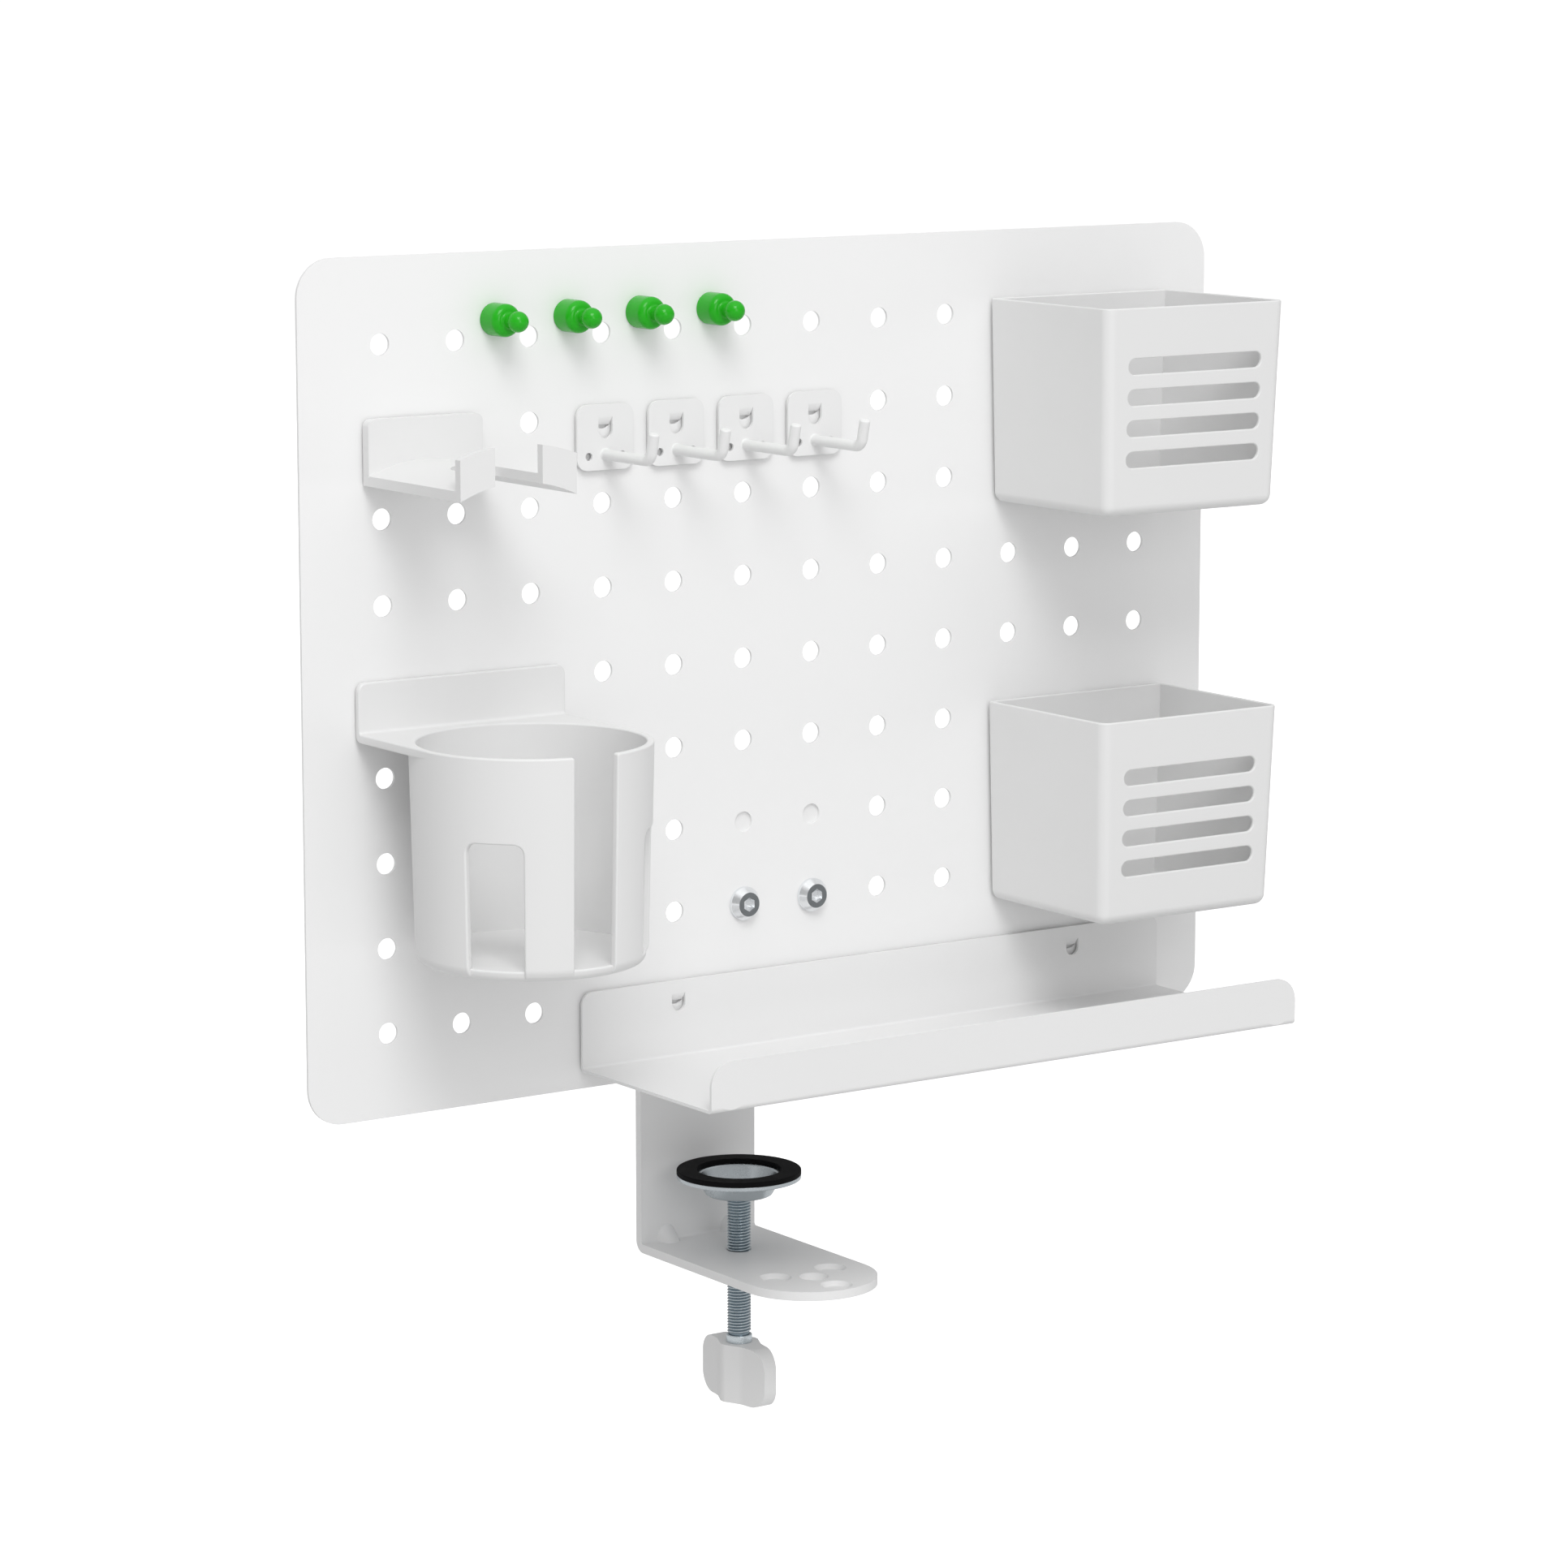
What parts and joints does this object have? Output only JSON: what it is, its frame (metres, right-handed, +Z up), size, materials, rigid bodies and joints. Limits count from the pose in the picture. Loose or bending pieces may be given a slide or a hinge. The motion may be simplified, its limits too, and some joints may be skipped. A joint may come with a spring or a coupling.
{
  "type": "pegboard tool wall",
  "caption": "Perforated steel desk panel on a screw clamp, with hooks, headphone rest, bins, cup holder, tray and magnetic pins.",
  "frame": {"origin": "middle of the clamp's inner corner: where the upper jaw's underside meets the rear leg's front face, so it is the desk's rear top edge", "axes": "+X to the user's right along the panel, -Y towards the user, +Z up"},
  "size_m": [0.526, 0.1922, 0.5792],
  "materials": {
    "panel_white": "smooth satin powder coat",
    "bracket_white": "satin powder coat on pressed strip",
    "accessory_white": "satin powder coat on sheet and rod",
    "moulded_white": "finely spark-eroded moulding",
    "knob_white": "satin moulding",
    "pin_green": "polished",
    "magnet_nickel": "nickel plate",
    "rubber_black": "matte",
    "zinc": "bright zinc plate"
  },
  "bodies": {
    "panel": {"panel": "panel_white", "clamp_bracket": "bracket_white", "bolt_left": "zinc", "bolt_right": "zinc", "bolt_washers": "zinc", "bolt_nuts": "zinc"},
    "clamp_pad": {"pad_dish": "zinc", "pad_ring": "rubber_black"},
    "clamp_screw": {"clamp_screw": "zinc", "clamp_knob": "knob_white"},
    "hook_1": {"hook_1_plate": "accessory_white", "hook_1_rod": "accessory_white"},
    "hook_2": {"hook_2_plate": "accessory_white", "hook_2_rod": "accessory_white"},
    "hook_3": {"hook_3_plate": "accessory_white", "hook_3_rod": "accessory_white"},
    "hook_4": {"hook_4_plate": "accessory_white", "hook_4_rod": "accessory_white"},
    "headphone_holder": {"headphone_holder": "moulded_white"},
    "upper_bin": {"upper_bin": "moulded_white"},
    "lower_bin": {"lower_bin": "moulded_white"},
    "cup_holder": {"cup_holder": "moulded_white"},
    "tray": {"tray": "accessory_white"},
    "pin_1": {"pin_1_grip": "pin_green", "pin_1_magnet": "magnet_nickel"},
    "pin_2": {"pin_2_grip": "pin_green", "pin_2_magnet": "magnet_nickel"},
    "pin_3": {"pin_3_grip": "pin_green", "pin_3_magnet": "magnet_nickel"},
    "pin_4": {"pin_4_grip": "pin_green", "pin_4_magnet": "magnet_nickel"}
  },
  "joints": [
    {"name": "clamp_travel", "type": "slide", "parent": "panel", "child": "clamp_pad", "axis": [0, 0, 1], "range_m": [-0.027, 0.038]},
    {"name": "screw_turn", "type": "hinge", "parent": "clamp_pad", "child": "clamp_screw", "pos_m": [0, -0.0363, -0.1], "axis": [0, 0, 1], "range_deg": [-6480, 9120]},
    {"name": "hook_1_lift", "type": "slide", "parent": "panel", "child": "hook_1", "axis": [0, 0, 1], "range_m": [0, 0.0045]},
    {"name": "hook_2_lift", "type": "slide", "parent": "panel", "child": "hook_2", "axis": [0, 0, 1], "range_m": [0, 0.0045]},
    {"name": "hook_3_lift", "type": "slide", "parent": "panel", "child": "hook_3", "axis": [0, 0, 1], "range_m": [0, 0.0045]},
    {"name": "hook_4_lift", "type": "slide", "parent": "panel", "child": "hook_4", "axis": [0, 0, 1], "range_m": [0, 0.0045]},
    {"name": "headphone_holder_lift", "type": "slide", "parent": "panel", "child": "headphone_holder", "axis": [0, 0, 1], "range_m": [0, 0.0037]},
    {"name": "upper_bin_lift", "type": "slide", "parent": "panel", "child": "upper_bin", "axis": [0, 0, 1], "range_m": [0, 0.0037]},
    {"name": "lower_bin_lift", "type": "slide", "parent": "panel", "child": "lower_bin", "axis": [0, 0, 1], "range_m": [0, 0.0037]},
    {"name": "cup_holder_lift", "type": "slide", "parent": "panel", "child": "cup_holder", "axis": [0, 0, 1], "range_m": [0, 0.0037]},
    {"name": "tray_lift", "type": "slide", "parent": "panel", "child": "tray", "axis": [0, 0, 1], "range_m": [0, 0.0045]},
    {"name": "pin_1_pull", "type": "slide", "parent": "panel", "child": "pin_1", "axis": [0, -1, 0], "range_m": [0, 0.03]},
    {"name": "pin_2_pull", "type": "slide", "parent": "panel", "child": "pin_2", "axis": [0, -1, 0], "range_m": [0, 0.03]},
    {"name": "pin_3_pull", "type": "slide", "parent": "panel", "child": "pin_3", "axis": [0, -1, 0], "range_m": [0, 0.03]},
    {"name": "pin_4_pull", "type": "slide", "parent": "panel", "child": "pin_4", "axis": [0, -1, 0], "range_m": [0, 0.03]}
  ],
  "couplings": [
    {"joint": "screw_turn", "follows": "clamp_travel", "rad_per_m": 4188.8}
  ]
}
